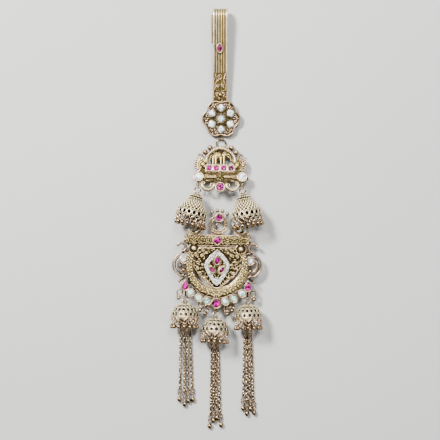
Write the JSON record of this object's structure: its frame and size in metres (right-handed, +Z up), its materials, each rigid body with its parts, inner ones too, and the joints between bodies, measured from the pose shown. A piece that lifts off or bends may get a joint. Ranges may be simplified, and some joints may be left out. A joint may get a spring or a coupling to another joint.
{
  "type": "hair bun pin",
  "caption": "Long hair bun pin in antique gold: folded hook strip, stone-set roundel, pierced plaques, hollow bells with bead fringes, and chain tassels.",
  "frame": {"origin": "centre of the base of the bounding box, on the surface that the pin lies on", "axes": "+Y along the pin towards its hook, +Z up, out of the decorated face"},
  "size_m": [0.047, 0.2104, 0.0162],
  "materials": {
    "antique_gold": "antique gold plate, bright on the raised edges and dark in the recesses",
    "dark_gold": "the same plate on small wires and beads, darker with age",
    "ruby": "polished, deep pink-red, foil-backed",
    "white_stone": "polished, milky white with a mint tint"
  },
  "bodies": {
    "root": {"hook_clip": "antique_gold", "upper_plaque": "antique_gold", "main_plaque": "antique_gold", "bell_upper_left": "antique_gold", "bell_upper_right": "antique_gold", "bell_lower_left": "antique_gold", "bell_lower_mid": "antique_gold", "bell_lower_right": "antique_gold", "ring_top": "antique_gold", "ring_upper_left": "antique_gold", "ring_upper_right": "antique_gold", "link_left": "antique_gold", "link_right": "antique_gold", "ring_lower_left": "antique_gold", "ring_lower_mid": "antique_gold", "ring_lower_right": "antique_gold", "tassel_beads_left": "antique_gold", "tassel_beads_mid": "antique_gold", "tassel_beads_right": "antique_gold", "fringe_upper_left": "dark_gold", "fringe_upper_right": "dark_gold", "fringe_lower_left": "dark_gold", "fringe_lower_mid": "dark_gold", "fringe_lower_right": "dark_gold", "tassel_left": "dark_gold", "tassel_mid": "dark_gold", "tassel_right": "dark_gold", "row_drops_left": "dark_gold", "row_drops_right": "dark_gold", "hook_ruby": "ruby", "bar_ruby_1": "ruby", "bar_ruby_2": "ruby", "bar_ruby_3": "ruby", "bar_ruby_4": "ruby", "scroll_ruby": "ruby", "crest_ruby": "ruby", "band_ruby": "ruby", "shield_drop_top": "ruby", "shield_drop_left": "ruby", "shield_drop_right": "ruby", "drop_ruby_left": "ruby", "drop_ruby_right": "ruby", "row_ruby": "ruby", "roundel_stone_1": "white_stone", "roundel_stone_2": "white_stone", "roundel_stone_3": "white_stone", "roundel_stone_4": "white_stone", "roundel_stone_5": "white_stone", "roundel_stone_6": "white_stone", "roundel_centre_stone": "white_stone", "end_stone_left": "white_stone", "end_stone_right": "white_stone", "side_pearl_left": "white_stone", "side_pearl_right": "white_stone", "row_stone_1": "white_stone", "row_stone_2": "white_stone", "row_stone_3": "white_stone", "row_stone_4": "white_stone", "row_stone_5": "white_stone", "row_stone_6": "white_stone"}
  },
  "joints": []
}
